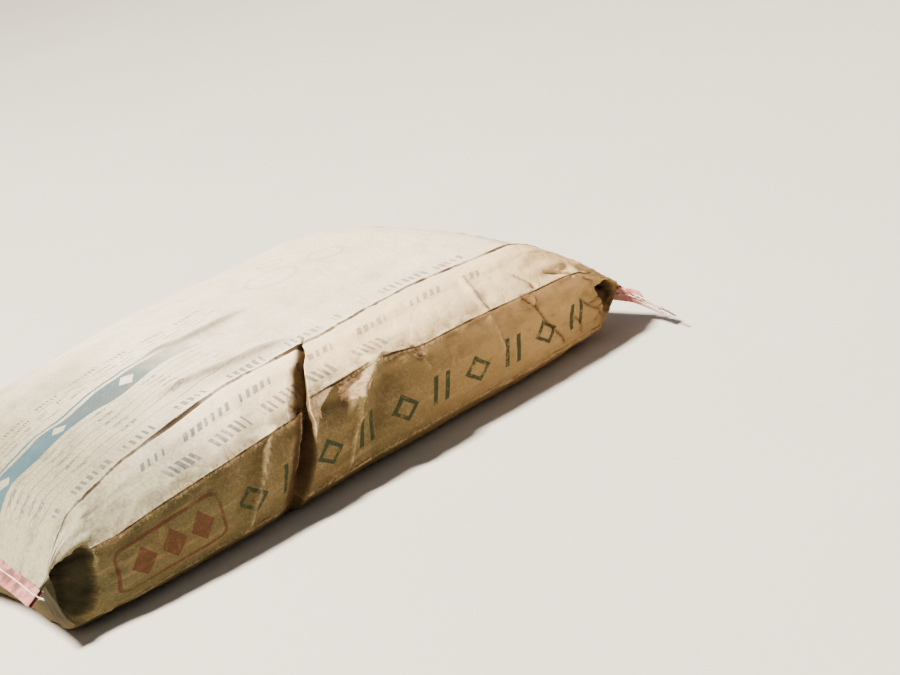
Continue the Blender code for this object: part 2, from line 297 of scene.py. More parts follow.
def by_table(t, table):
    """Gaps at the places t, from a table in millimetres."""
    marks, gaps = np.array(table).T * MM
    return np.interp(t, marks, gaps)


def fine_columns():
    parts = []
    for first, width, fine, coarse in PANEL_GAPS:
        t = np.linspace(0.0, width, 4001)
        gap = np.minimum(coarse * MM, fine * MM + GAP_GROWTH * np.minimum(t, width - t))
        parts.append(first + spaced(t, gap) / width)
    t = np.linspace(0.0, SACK_WIDTH, 4001)
    parts.insert(2, 2 + spaced(t, by_table(t, TOP_GAPS)) / SACK_WIDTH)
    return np.concatenate(parts)


def fine_rows():
    edge = HALF_LENGTH + LIP_LENGTH
    t = np.linspace(-edge, edge, 8001)
    rows = np.append(spaced(t, by_table(t, ROW_GAPS)), edge)
    for lip in (-HALF_LENGTH, HALF_LENGTH):
        rows[np.abs(rows - lip).argmin()] = lip
    return rows


# The deep wrinkle of the -Y side: crease number, then in millimetres the place of its right edge, depth,
# width of its left slope, how far the right edge hangs over, and how high that edge stands
WRINKLE = np.array((
    (-0.3, -95, 0, 20, 0, 0),
    (-0.08, -84.6, 6, 28, 0, 1),
    (0, -81, 11, 32, 0, 2),
    (0.13, -75.2, 15, 34, 0, 2.8),
    (0.32, -67, 20, 34, 1, 3),
    (0.48, -59.4, 23, 32, 2, 2.8),
    (0.65, -53.8, 24, 30, 3, 2.6),
    (0.82, -46.3, 21.5, 26, 4, 2.4),
    (0.98, -44, 17.5, 20, 4.5, 1.8),
    (1.1, -41.3, 16.5, 27, 4, 1.6),
    (1.22, -35.3, 15, 24, 3.6, 1.6),
    (1.4, -26.8, 13.5, 21, 3.4, 1.6),
    (1.65, -15.6, 12, 19, 3, 1.4),
    (1.85, -6.8, 10, 16, 2.6, 1.2),
    (1.97, -1, 7, 10, 1.6, 0.8),
    (2.05, 13, 0, 5, 0, 0),
))
WRINKLE[:, 1:] *= MM
WRINKLE_MIDDLE = -0.044
WRINKLE_LEAN_REACH = 0.150
# How far the middle -Y crease slips up the paper, and where that begins and ends
CREASE_SLIP = 0.0075
SLIP_BEGINS = (-0.052, -0.04)
SLIP_ENDS = (0.095, 0.05)


def wrinkle_edge(c):
    return np.interp(wrapped(c), WRINKLE[:, 0], WRINKLE[:, 1])


def slanted(mark, c):
    """Lengthwise place of a row at column c, where rows lean to follow the wrinkle."""
    near = np.maximum(0.0, 1.0 - ((mark - WRINKLE_MIDDLE) / WRINKLE_LEAN_REACH) ** 2)
    round_about = np.interp(wrapped(c), (-0.4, -0.05, 2.1, 2.5), (0.0, 1.0, 1.0, 0.0))
    return mark + (wrinkle_edge(c) - WRINKLE_MIDDLE) * near * round_about


def paper_grid():
    """The fine grid: crease number c, k the same wrapped, lengthwise place s, place u round the paper,
    side_u the same wrapped, distance from the nearer lip, and the plain points."""
    mark, c = np.meshgrid(fine_rows(), fine_columns(), indexing="ij")
    between = np.abs(mark) < HALF_LENGTH - 1e-9
    level = np.clip(slanted(mark, c), -HALF_LENGTH, HALF_LENGTH)
    s = np.where(between, level, mark)
    plain = plain_skin(level, c)
    for end in (NEAR, FAR):
        lip = mark * end >= HALF_LENGTH - 1e-9
        lips = plain_lip(float(end), np.maximum(mark * end - HALF_LENGTH, 0.0), c)
        plain = np.where(lip[..., None], lips, plain)
    u = paper_place(c)
    side_u = np.where(c > 4.5, u - GIRTH, u)
    distance = HALF_LENGTH - np.abs(s)
    return SimpleNamespace(c=c, k=wrapped(c), s=s, u=u, side_u=side_u, distance=distance, plain=plain)


# Relief of the fine skin

def perlin(points, seed):
    """Smooth noise at the points, about -1 to 1."""
    rng = np.random.default_rng(seed)
    gradients = rng.normal(size=(512, 3))
    gradients /= np.linalg.norm(gradients, axis=1)[:, None]
    table = rng.permutation(512)
    cell = np.floor(points).astype(int)
    f = points - cell
    w = f * f * f * (f * (f * 6 - 15) + 10)
    total = np.zeros(points.shape[:-1])
    for corner in range(8):
        bit = np.array([corner & 1, corner >> 1 & 1, corner >> 2 & 1])
        at = cell + bit
        h = table[(table[(table[at[..., 0] & 511] + at[..., 1]) & 511] + at[..., 2]) & 511]
        dot = ((f - bit) * gradients[h]).sum(-1)
        total += dot * np.where(bit, w, 1 - w).prod(-1)
    return 1.7 * total


def crumple(points, scale, seed):
    """Facets that meet in ridge and valley lines, as in handled paper."""
    p = points / scale
    p = p + 0.35 * np.stack([perlin(p, seed + k) for k in (1, 2, 3)], axis=-1)
    return np.abs(perlin(p, seed)) - np.abs(perlin(p, seed + 7))


def path_distance(places, s, u):
    """Signed distance of each grid point from a path of (s in mm, crease number) places, and how far
    along it is."""
    path = np.array([(a * MM, paper_place(b)) for a, b in places])
    best = np.full(s.shape, 1e9)
    signed = np.zeros(s.shape)
    place = np.zeros(s.shape)
    lengths = np.hypot(*(path[1:] - path[:-1]).T)
    start = np.concatenate([[0.0], np.cumsum(lengths)])
    for k, length in enumerate(lengths):
        d = (path[k + 1] - path[k]) / length
        a, b = s - path[k][0], u - path[k][1]
        t = np.clip(a * d[0] + b * d[1], 0.0, length)
        gap = np.hypot(a - t * d[0], b - t * d[1])
        nearer = gap < best
        best = np.where(nearer, gap, best)
        signed = np.where(nearer, np.sign(a * d[1] - b * d[0]) * gap, signed)
        place = np.where(nearer, (start[k] + t) / start[-1], place)
    return signed, place


def spindle(place, blend):
    """1 along a path and 0 at both of its ends."""
    return smooth(0.0, blend, place) * smooth(0.0, blend, 1.0 - place)


# Creases and folds by kind and end blend: height, half width and then the places of the path, each a
# lengthwise place and a crease number. In millimetres. A ledge or a step is steep on one side of its path.
FOLDS = {
    ("ledge", 0.2): (
        (9, 10, (56, 1.18), (34, 1.05), (24, 0.97), (11, 0.85), (0, 0.67), (-10, 0.52)),
    ),
    ("sharp", 0.2): (
        (3.6, 3, (5, 0.78), (0, 0.67), (-9.5, 0.55), (-23.7, 0.2), (-32, 0.02)),
        (4.2, 3, (-52, 1.1), (-58.5, 0.93), (-64, 0.73), (-70, 0.55), (-82, 0.3)),
        (-3.2, 1.8, (-64, 1.2), (-54.5, 1.1), (-60, 1.02)),
        (-2.6, 1.6, (-54.5, 1.1), (-50, 1.18)),
        (-2.6, 1.8, (256, 1.22), (290, 0.96)),
        (1.2, 2, (120, 0.96), (112, 0.5)),
        (1.4, 2.4, (-215, 1.62), (-196, 1.3), (-205, 1.04)),
        (-1.4, 2, (-196, 1.3), (-172, 1.2), (-160, 1.03)),
        (1.2, 2.2, (-90, 2), (-75, 1.6), (-66, 1.3)),
    ),
    ("soft", 0.3): (
        (-7.5, 13, (66, 1), (48, 0.88), (30, 0.72), (16, 0.45), (5, 0.15)),
        (-2.6, 11, (-30, 0.66), (-20, 0.4), (-40, 0.1)),
        (-3, 5, (-56, 1.1), (-68, 0.93), (-74, 0.78)),
        (-4, 11, (-108, 1.02), (-140, 0.62), (-166, 0.1)),
    ),
    ("soft", 0.25): (
        (-7, 8.5, (-42, 0.92), (-28, 0.93), (-14, 0.86), (-6, 0.76)),
    ),
    ("soft", 0.2): (
        (2, 8, (-79, 1.12), (-98, 0.88), (-116, 0.6), (-140, 0.1)),
    ),
    ("sharp", 0.12): (
        (4.2, 2.8, (-83.7, 1.08), (-101, 0.9), (-119, 0.65), (-138, 0.33), (-148, 0)),
        (-4.4, 2, (235.8, 1), (230, 0.76), (235.8, 0.6), (250.7, 0.22), (254.5, 0.02)),
        (-3.6, 1.8, (230, 0.76), (221.5, 0.9), (215, 1.02)),
    ),
    ("sharp", 0.1): (
        (4, 2.2, (179, 1.72), (177, 1.5), (173.4, 1.25), (171.5, 1), (173.4, 0.85), (176, 0.44)),
    ),
    ("sharp", 0.16): (
        (-1.4, 1.6, (175.2, 1.03), (176.9, 0.85), (180, 0.36)),
    ),
    ("soft", 0.15): (
        (3.4, 4, (226.2, 0.99), (228.5, 0.84)),
    ),
    ("sharp", 0.15): (
        (-2.6, 1.8, (226.7, 1.38), (235.8, 1.12), (235.8, 0.98)),
        (-3, 1.8, (286, 0.66), (297, 0.47), (309, 0.3), (313, 0.1)),
        (-2.4, 1.6, (297, 0.47), (314, 0.52)),
        (-2.4, 1.6, (303, 0.38), (322, 0.33)),
        (-2.2, 1.6, (309, 0.28), (297, 0.12)),
        (-2.2, 1.6, (273, 0.46), (281, 0.24), (278, 0.08)),
        (-3.4, 1.8, (311, 1.72), (317, 1.5), (325, 1.24), (331, 1.05)),
        (-2.8, 1.6, (299, 1.16), (306, 1.12), (316, 1.02)),
        (-2.8, 1.6, (297, 0.94), (304, 0.88), (313, 0.84)),
        (2.6, 1.8, (304, 1.45), (311, 1.22), (313, 1)),
        (-3, 1.8, (79, 1.06), (84.5, 0.96), (80, 0.84)),
        (3, 1.6, (85.5, 1.05), (90.5, 0.95), (85, 0.82), (88, 0.7)),
    ),
    ("soft", 0.24): (
        (-3, 11, (-150, 2.11), (-105, 2.065), (-50, 2.048), (10, 2.04)),
    ),
    ("step", 0.26): (
        (5.4, 18, (16, 2.074), (-50, 2.09), (-105, 2.114), (-155, 2.15)),
    ),
    ("soft", 0.35): (
        (-3, 12, (-100, 2.32), (-45, 2.295), (30, 2.27)),
        (-4.5, 15, (-230, 2.36), (-150, 2.27), (-80, 2.21)),
        (2.6, 12, (-240, 2.46), (-150, 2.38), (-80, 2.33)),
        (-3.6, 14, (-250, 2.62), (-150, 2.56), (-60, 2.52)),
        (-3, 12, (60, 2.16), (130, 2.13), (200, 2.15)),
    ),
    ("step", 0.3): (
        (4.8, 19, (40, 2.3), (-18.6, 2.318), (-48.6, 2.332), (-110, 2.362)),
    ),
}
# How far the steep side reaches, as a share of the other one. Then half the width of a crack or a worn
# edge, and how far from a step's path the middle of its painted shade lies, and half that shade's width
STEEP_SHARE = 0.30
LINE_HALF_WIDTH = 0.0013
SHADE_OFF = 0.0028
SHADE_HALF_WIDTH = 0.0034


def fold_relief(g):
    """Height of the folds, and masks of the cracks, the worn edges, the lit band beside a ledge (a painted
    highlight), the dents (painted shade) and the painted shade beside the steps.
    """
    rise, crack, worn_edge, painted_light_strip, dent, shade = (np.zeros(g.s.shape) for _ in range(6))
    rows = [(*key, *row) for key, folds in FOLDS.items() for row in folds]
    for kind, blend, height, width, *places in rows:
        height, width = height * MM, width * MM
        off, place = path_distance(places, g.s, g.side_u)
        along = spindle(place, blend)
        if kind == "sharp":
            shape = np.exp(-np.abs(off) / width)
        elif kind == "soft":
            shape = bell(off, width)
            dent = np.maximum(dent, smooth(0.0, 0.007, -height) * shape * along)
        else:
            shape = np.exp(-np.where(off > 0.0, off, -off / STEEP_SHARE) / width)
        rise += height * shape * along
        line = smooth(0.0006, 0.0024, abs(height)) * along * bell(off, LINE_HALF_WIDTH)
        # Beside a step's steep side lies a band of painted shade
        if kind == "step":
            shade = np.maximum(shade, along * bell(off + SHADE_OFF, SHADE_HALF_WIDTH))
        elif kind != "soft" and height < 0.0:
            crack = np.maximum(crack, line)
        elif kind != "soft":
            worn_edge = np.maximum(worn_edge, line)
        # Beside a ledge lies a band that the material dusts pale: a painted highlight
        if kind == "ledge":
            lit = smooth(-0.0006, 0.0004, off) * smooth(0.0085, 0.006, off)
            painted_light_strip = np.maximum(painted_light_strip, lit * smooth(0.78, 0.62, place) * smooth(0.02, 0.06, place))
    return rise, crack, worn_edge, painted_light_strip, dent, shade


def wrinkle_relief(g):
    """The -Y side's wrinkle: how far it rises, how far it shifts lengthwise, and a mask of its valley,
    which the material darkens with painted shade and keeps bare of dust.
    """
    depth, slope, hang, lip = (np.interp(g.k, WRINKLE[:, 0], WRINKLE[:, n]) for n in (2, 3, 4, 5))
    inside = (g.k > WRINKLE[0, 0]) & (g.k < WRINKLE[-1, 0])
    off = g.s - wrinkle_edge(g.c)
    wall = np.maximum(0.0014, 0.28 * depth)
    below = np.clip(1.0 + off / wall, 0.0, 1.0)
    up_left = np.clip(1.0 - (-off - wall) / slope, 0.0, 1.0)
    valley = np.where(off < -wall, depth * up_left**1.7, depth * (1.0 - below**0.7))
    past = np.maximum(off, 0.0)
    crest = lip * np.where(off < 0.0, below, np.exp(-past / 0.009))
    over = -hang * np.where(off < 0.0, below, np.exp(-past / 0.006))
    under = 0.5 * hang * np.where(off < -wall, up_left**3, 1.0 - below)
    # Painted shade: the valley's left slope is darkened the more the lower it lies
    dark = np.where(off < 0.0, smooth(0.04, 0.3, valley / np.maximum(depth, 1e-6)), 0.0)
    dark = dark * smooth(0.0, 0.003, depth)
    return (np.where(inside, part, 0.0) for part in (crest - valley, over + under, dark))


def crease_shift(s):
    """How far the middle -Y crease has slipped up the paper between the two wrinkles."""
    return CREASE_SLIP * smooth(*SLIP_BEGINS, s) * smooth(*SLIP_ENDS, s)


# How high the ridge along each crease stands
CREASE_HEIGHTS = (0.0016, 0.0030, 0.0022, 0.0022, 0.0030, 0.0016, 0.0016)


def crease_relief(g):
    """Height of the ridges along the creases and of the edges beside them, and a mask of the flap's tip."""
    rise = np.zeros(g.s.shape)
    steady = 0.65 + 0.35 * perlin(g.plain / 0.055, 21)
    for at, height in zip(CREASE_AT, CREASE_HEIGHTS):
        slip = crease_shift(g.s) if at == MIDDLE else 0.0
        rise += height * np.exp(-np.abs(g.u - at - slip) / 0.0055) * steady

    # The lower panel starts a step behind the sharp edge of the panel above it
    below = g.side_u - MIDDLE - crease_shift(g.s)
    past_edge = g.s - wrinkle_edge(g.c)
    tip = smooth(-0.0008, 0.0008, 0.026 * (1.0 + below / 0.022) - past_edge)
    tip = tip * smooth(-0.0012, 0.0, past_edge) * (below <= 0.0)
    step = np.where(below < 0.0, smooth(0.0, 0.0022, -below) * np.exp(below / 0.014), 0.0)
    rise -= 0.0026 * step * (1.0 - tip) * (0.75 + 0.5 * perlin(g.plain / 0.045, 37))

    # The top sheet's edge stands a little proud along the upper crease, over a thin groove
    above = g.u - UPPER
    lifted = 0.55 + 0.45 * perlin(g.plain / 0.04, 33)
    lifted += 1.3 * bell(g.s + 0.15, 0.035) + 0.8 * bell(g.s + 0.01, 0.03)
    edge = 0.0007 * bell(above - 0.0014, 0.0016) - 0.0012 * bell(above + 0.0016, 0.0012)
    rise += np.maximum(lifted, 0.0) * edge
    return rise * smooth(0.03, 0.07, g.distance), tip


def crumple_relief(g, free):
    """Height of the lumps, the crumpled facets and the puckers that fan out from each sewn end."""
    k, s, distance = g.k, g.s, g.distance
    sides = np.maximum(bell(np.minimum(np.abs(k - 0.9), 1.6), 0.9), bell(g.c - 4.0, 0.9))
    worked = 0.35 + 0.65 * sides + np.exp(-distance / 0.075)
    far_corner = smooth(0.255, 0.31, s) * smooth(-0.4, 0.1, k) * smooth(2.1, 1.2, k) * smooth(1.7, 0.9, k)
    far_side = smooth(0.05, 0.2, s) * smooth(-0.2, 0.2, k) * smooth(1.6, 1.0, k)
    near_corner = smooth(-0.25, -0.3, s) * smooth(-0.6, 0.0, k) * smooth(2.6, 1.6, k)
    rise = 0.0016 * perlin(g.plain / 0.11, 3) + 0.0011 * perlin(g.plain / 0.055, 5)
    for where, height, scale, seed in (
        (worked, 0.002, 0.06, 40),
        (worked, 0.0012, 0.026, 60),
        (worked, 0.0005, 0.011, 80),
        (far_corner, 0.0036, 0.02, 90),
        (far_side, 0.0024, 0.042, 97),
        (near_corner, 0.0012, 0.018, 95),
    ):
        rise += height * where * crumple(g.plain, scale, seed)
    fan = smooth(0.0, 0.02, distance) * np.exp(-distance / 0.045)
    waves = perlin(np.stack([g.u / 0.02, distance / 0.12, 3.0 * np.sign(s)], axis=-1), 120)
    waves += 0.6 * perlin(np.stack([g.u / 0.01, distance / 0.08, 5.0 * np.sign(s)], axis=-1), 130)
    return rise * free + 0.0036 * fan * waves


# Torn paper below the middle crease: lengthwise place, half length, half height, amount
TORN_PATCHES = (
    (0.0040, 0.0170, 0.0085, 1.00),
    (-0.0410, 0.0052, 0.0080, 1.00),
    (0.0850, 0.0100, 0.0065, 0.62),
)
TORN_ROW = 0.0700
UNDERSIDE_SHARE = 0.25


def torn_paper(g):
    torn = np.zeros(g.s.shape)
    for at, long, high, amount in TORN_PATCHES:
        patch = np.exp(-(((g.s - at) / long) ** 4) - (((g.side_u - TORN_ROW) / high) ** 4))
        torn = np.maximum(torn, amount * patch)
    return torn


def painted_corner_shade(g, y):
    """Painted shade, as a mask: how far into the corner pockets each point lies, or how far under the lower
    edge at a corner, at the near end and, fainter, at the far end.
    """
    folds = np.where(np.abs(g.c - 1.5) < 0.5, 0.45, 1.0)
    pocket_shade = smooth(0.0014, 0.008, np.abs(tuck(g.s, g.distance, g.c)) * folds)
    low_corner = np.where(g.c >= 5.0, 1.0, smooth(1.2, 0.6, g.c)) * smooth(-0.13, -0.19, y)
    past_end = g.s + 0.018 * smooth(0.4, 0.0, g.k)
    far_end_shade = 0.6 * low_corner * smooth(0.314, 0.33, past_end) * smooth(0.9, 0.6, g.k)
    return np.maximum(np.maximum(pocket_shade, low_corner * smooth(-0.316, -0.332, g.s)), far_end_shade)


def normals_of(points):
    around = np.roll(points, -1, axis=1) - np.roll(points, 1, axis=1)
    along = np.empty_like(points)
    along[1:-1] = points[2:] - points[:-2]
    along[0] = points[1] - points[0]
    along[-1] = points[-1] - points[-2]
    normal = np.cross(along, around)
    length = np.linalg.norm(normal, axis=-1, keepdims=True)
    return normal / np.maximum(length, 1e-12)


def blurred(values, times):
    """Values averaged with their neighbours in the grid."""
    for _ in range(times):
        padded = np.concatenate([values[:1], values, values[-1:]])
        values = 0.25 * (2 * values + padded[:-2] + padded[2:])
        values = 0.25 * (2 * values + np.roll(values, 1, axis=1) + np.roll(values, -1, axis=1))
    return values


def fine_skin():
    """The grid, its finished points and the masks for the material."""
    g = paper_grid()
    free = smooth(0.0, 0.012, g.distance)
    under = smooth(0.0, 0.006, g.plain[..., 2])
    wrinkle, shift, slit_bare_and_shade = wrinkle_relief(g)
    folds, crack, worn_edge, painted_light_strip, dent, shade = fold_relief(g)
    creases, tip = crease_relief(g)
    torn = torn_paper(g)
    rise = wrinkle + folds + creases + crumple_relief(g, free)
    rise += torn * (0.0012 * crumple(g.plain, 0.007, 150) - 0.0022)
    rise *= free * (under + (1.0 - under) * UNDERSIDE_SHARE)

    normal = blurred(normals_of(g.plain), 2)
    normal /= np.linalg.norm(normal, axis=-1, keepdims=True)
    points = g.plain + normal * rise[..., None]
    points[..., 0] += shift * free
    points[..., 2] = np.maximum(points[..., 2], 0.0)

    final = normals_of(points)
    on_face = smooth(1.98, 2.02, g.c) * smooth(3.02, 2.98, g.c)
    masks = {
        # hollow: how far each point lies below its blurred neighbours, plus the side's soft dents; the
        # material paints shade by it
        "hollow": ((blurred(points, 6) - points) * final).sum(-1) + 0.0018 * dent * (1.0 - on_face),
        "up": blurred(final[..., 2], 3),
        "torn": torn,
        "slit_bare_and_shade": slit_bare_and_shade,
        # fold: painted shade along the top face's soft folds and beside its steps
        "fold": np.maximum(0.7 * dent**2.5, shade) * on_face,
        "pocket_shade": painted_corner_shade(g, g.plain[..., 1]),
        # tip: the flap's tip, dusty like the panel above it, and the band beside the ledge, dusted pale as
        # a painted highlight
        "tip": np.maximum(tip, painted_light_strip),
        "crack": crack,
        "worn_edge": worn_edge,
    }
    return g, points, masks


# Meshes

def put_in_scene(name, data):
    made = bpy.data.objects.new(name, data)
    bpy.context.scene.collection.objects.link(made)
    return made


def new_object(name, points, faces):
    mesh = bpy.data.meshes.new(name)
    mesh.from_pydata([tuple(map(float, p)) for p in points], [], faces)
    mesh.validate()
    mesh.shade_smooth()
    return put_in_scene(name, mesh)


def quads(rows, around, flip=False):
    """Faces of a grid of points whose rows close round on themselves."""
    faces = []
    for row in range(rows - 1):
        for column in range(around):
            a = row * around + column
            b = row * around + (column + 1) % around
            face = (a, b, b + around, a + around)
            faces.append(face[::-1] if flip else face)
    return faces


def strip_between(upper, lower, points, flip):
    """Triangles between two chains of vertices, advancing the one that lags in y."""
    i = j = 0
    faces = []
    while i < len(upper) - 1 or j < len(lower) - 1:
        step_upper = j == len(lower) - 1
        if i < len(upper) - 1 and not step_upper:
            step_upper = points[upper[i + 1]][1] < points[lower[j + 1]][1]
        if step_upper:
            face = (upper[i], lower[j], upper[i + 1])
            i += 1
        else:
            face = (upper[i], lower[j], lower[j + 1])
            j += 1
        if len(set(face)) == 3:
            faces.append(face[::-1] if flip else face)
    return faces


def add_paper_uv(mesh, u, s):
    """A UV layer that holds the place on the flat paper, in metres."""
    places = np.zeros((len(mesh.loops), 2), np.float32)
    for polygon in mesh.polygons:
        around = [u[v] for v in polygon.vertices]
        turned = max(around) - min(around) > GIRTH / 2
        for loop, vertex, place in zip(polygon.loop_indices, polygon.vertices, around):
            places[loop] = (place + GIRTH if turned and place < GIRTH / 2 else place, s[vertex])
    mesh.uv_layers.new(name="paper").data.foreach_set("uv", places.reshape(-1))


def build_sack():
    g, grid, masks = fine_skin()
    rows, around = g.s.shape
    points = grid.reshape(-1, 3)
    faces = quads(rows, around, flip=True)
    top_first, top_last = (int(np.abs(g.c[0] - crease).argmin()) for crease in (2, 3))
    for row, flip in ((0, False), (rows - 1, True)):
        base = row * around
        upper = [base + k for k in range(top_first, top_last + 1)]
        lower = [base + k for k in range(top_first, -1, -1)]
        lower += [base + k for k in range(around - 1, top_last - 1, -1)]
        faces += strip_between(upper, lower, points, flip)
    sack = new_object("sack_paper", points, faces)
    for name, values in masks.items():
        layer = sack.data.attributes.new(name, "FLOAT", "POINT")
        layer.data.foreach_set("value", values.reshape(-1).astype(np.float32))
    add_paper_uv(sack.data, g.u.reshape(-1), g.s.reshape(-1))
    return sack


# Node trees

def sum_of(operation, turned=False):
    """A method that adds the math node for a value and another one, or for these in turned order."""
    def add_node(value, other=0.0):
        pair = {0: other, 1: value} if turned else {0: value, 1: other}
        return value.nodes.add("ShaderNodeMath", 0, pair, operation=operation)
    return add_node


class Value:
    """What an output of a node gives, over the whole material. Sums on it add nodes."""

    def __init__(self, nodes, socket):
        self.nodes = nodes
        self.socket = socket

    __add__ = sum_of("ADD")
    __radd__ = sum_of("ADD", turned=True)
    __sub__ = sum_of("SUBTRACT")
    __rsub__ = sum_of("SUBTRACT", turned=True)
    __mul__ = sum_of("MULTIPLY")
    __truediv__ = sum_of("DIVIDE")
    __lt__ = sum_of("LESS_THAN")
    __gt__ = sum_of("GREATER_THAN")
    __abs__ = sum_of("ABSOLUTE")
    floor = sum_of("FLOOR")
    fract = sum_of("FRACT")
    sqrt = sum_of("SQRT")
    most = sum_of("MAXIMUM")

    def ramp(self, low, high):
        """0 below low and 1 above high, smooth between them; low may be the larger."""
        inputs = {"Value": self, "From Min": min(low, high), "From Max": max(low, high)}
        inputs.update({"To Min": float(low > high), "To Max": float(low < high)})
        return self.nodes.add("ShaderNodeMapRange", "Result", inputs, interpolation_type="SMOOTHSTEP")

    def inside(self, low, high, soft=0.0005):
        """1 between low and high."""
        return self.ramp(low - soft, low + soft) * self.ramp(high + soft, high - soft)


def either(first, *others):
    """The greatest of the values."""
    for other in others:
        first = first.most(other)
    return first


def linear(colour):
    """An sRGB colour, 0 to 255, as linear light."""
    shares = (part / 255 for part in colour)
    return tuple(v / 12.92 if v <= 0.04045 else ((v + 0.055) / 1.055) ** 2.4 for v in shares)


class Nodes:
    """The nodes of a new material. Colours are sRGB, 0 to 255."""

    def __init__(self, name):
        self.material = bpy.data.materials.new(name)
        self.material.use_nodes = True
        self.tree = self.material.node_tree

    def put(self, node, inputs):
        for key, value in dict(inputs).items():
            socket = node.inputs[key]
            if isinstance(value, Value):
                self.tree.links.new(value.socket, socket)
            elif socket.type == "RGBA":
                socket.default_value = (*linear(value), 1.0)
            else:
                socket.default_value = value

    def add(self, kind, output, inputs=(), **settings):
        """An output of a new node that has these inputs and settings."""
        node = self.tree.nodes.new(kind)
        for key, value in settings.items():
            setattr(node, key, value)
        self.put(node, inputs)
        return Value(self, node.outputs[output])

    def mix(self, share, a, b):
        return self.add("ShaderNodeMix", 2, {"Factor": share, 6: a, 7: b}, data_type="RGBA")

    def coats(self, colour, *coats):
        """A colour with coats over it, each a share and a colour."""
        for share, over in coats:
            colour = self.mix(share, colour, over)
        return colour

    def attribute(self, name):
        return self.add("ShaderNodeAttribute", "Fac", attribute_name=name)

    def noise(self, vector, scale, detail, rough, distortion=0.0):
        inputs = {"Vector": vector, "Scale": scale, "Detail": detail, "Roughness": rough}
        return self.add("ShaderNodeTexNoise", "Fac", {**inputs, "Distortion": distortion})

    def random(self, value):
        return self.add("ShaderNodeTexWhiteNoise", "Value", {"W": value}, noise_dimensions="1D")

    def vector(self, x, y):
        return self.add("ShaderNodeCombineXYZ", 0, {0: x, 1: y})

    def split(self, vector):
        return (self.add("ShaderNodeSeparateXYZ", axis, {0: vector}) for axis in (0, 1))

    def object_place(self):
        return self.add("ShaderNodeTexCoord", "Object")

    def finished(self, colour, roughness, specular=0.5, *bumps):
        """The material with its shader set. A bump is a height, a distance and a strength."""
        look = {"Base Color": colour, "Roughness": roughness, "Specular IOR Level": specular}
        under = {}
        for height, distance, strength in bumps:
            inputs = {"Height": height, "Distance": distance, "Strength": strength, **under}
            under = {"Normal": self.add("ShaderNodeBump", "Normal", inputs)}
        self.put(self.tree.nodes["Principled BSDF"], {**look, **under})
        return self.material


# The print: plain shapes, bars and rules. Places are u round the paper and s lengthwise, in metres.

# Rows of grey strokes: u, height, length of a group, seed, from s, to s, lean
STROKE_ROWS = (
    (0.0985, 0.0125, 0.0570, 3.0, -0.205, 0.075, 0.3),
    (0.1260, 0.0135, 0.0690, 11.0, -0.215, 0.205, -0.3),
    (0.1710, 0.0125, 0.0640, 23.0, -0.300, 0.060, 0.0),
    (0.1710, 0.0125, 0.0680, 31.0, 0.085, 0.215, 0.0),
    (0.3080, 0.0045, 0.0300, 37.0, -0.310, 0.020, 0.0),
    (0.3190, 0.0045, 0.0260, 41.0, -0.310, 0.030, 0.0),
    (0.3300, 0.0045, 0.0340, 43.0, -0.300, 0.010, 0.0),
    (0.3430, 0.0075, 0.0430, 47.0, -0.280, 0.020, 0.0),
)
STROKE_PITCH = 0.62
DIAMOND_PITCH = 0.046
DIAMOND_ROW = 0.0315
RULE_PITCH = 0.0125
ENTRY_PITCH = 0.0620
BAND_PITCH = 0.083
BAND_ROW = 0.2735
BAND_FROM, BAND_TO = -0.352, -0.020
# Faded rings: u, s, radius
RINGS = ((0.330, 0.095, 0.030), (0.330, 0.165, 0.022), (0.385, 0.130, 0.016))
RING_LINE = 0.0045
FRAME_ROW, FRAME_PLACE = 0.036, -0.226
LOZENGE_PITCH = 0.0313
# Keeps the count of the pitches above zero; and the same for the lozenges, so that three fit the frame
PITCH_START = 2.0
LOZENGE_START = 1.2417


def strokes(n, u, s, row, height, pitch, seed, start, stop, lean):
    """A row of upright strokes of uneven widths, in groups of uneven lengths."""
    place = s + u * lean + PITCH_START
    group = place / pitch
    in_group = group.fract()
    length = 0.58 + n.random(group.floor() + seed) * 0.34
    stroke = place / (STROKE_PITCH * height)
    thick = 0.34 + n.random(stroke.floor() + seed) * 0.34
    along = in_group.ramp(0.02, 0.05) * (in_group < length) * (stroke.fract() < thick)
    return along * u.inside(row - height / 2, row + height / 2) * s.inside(start, stop)


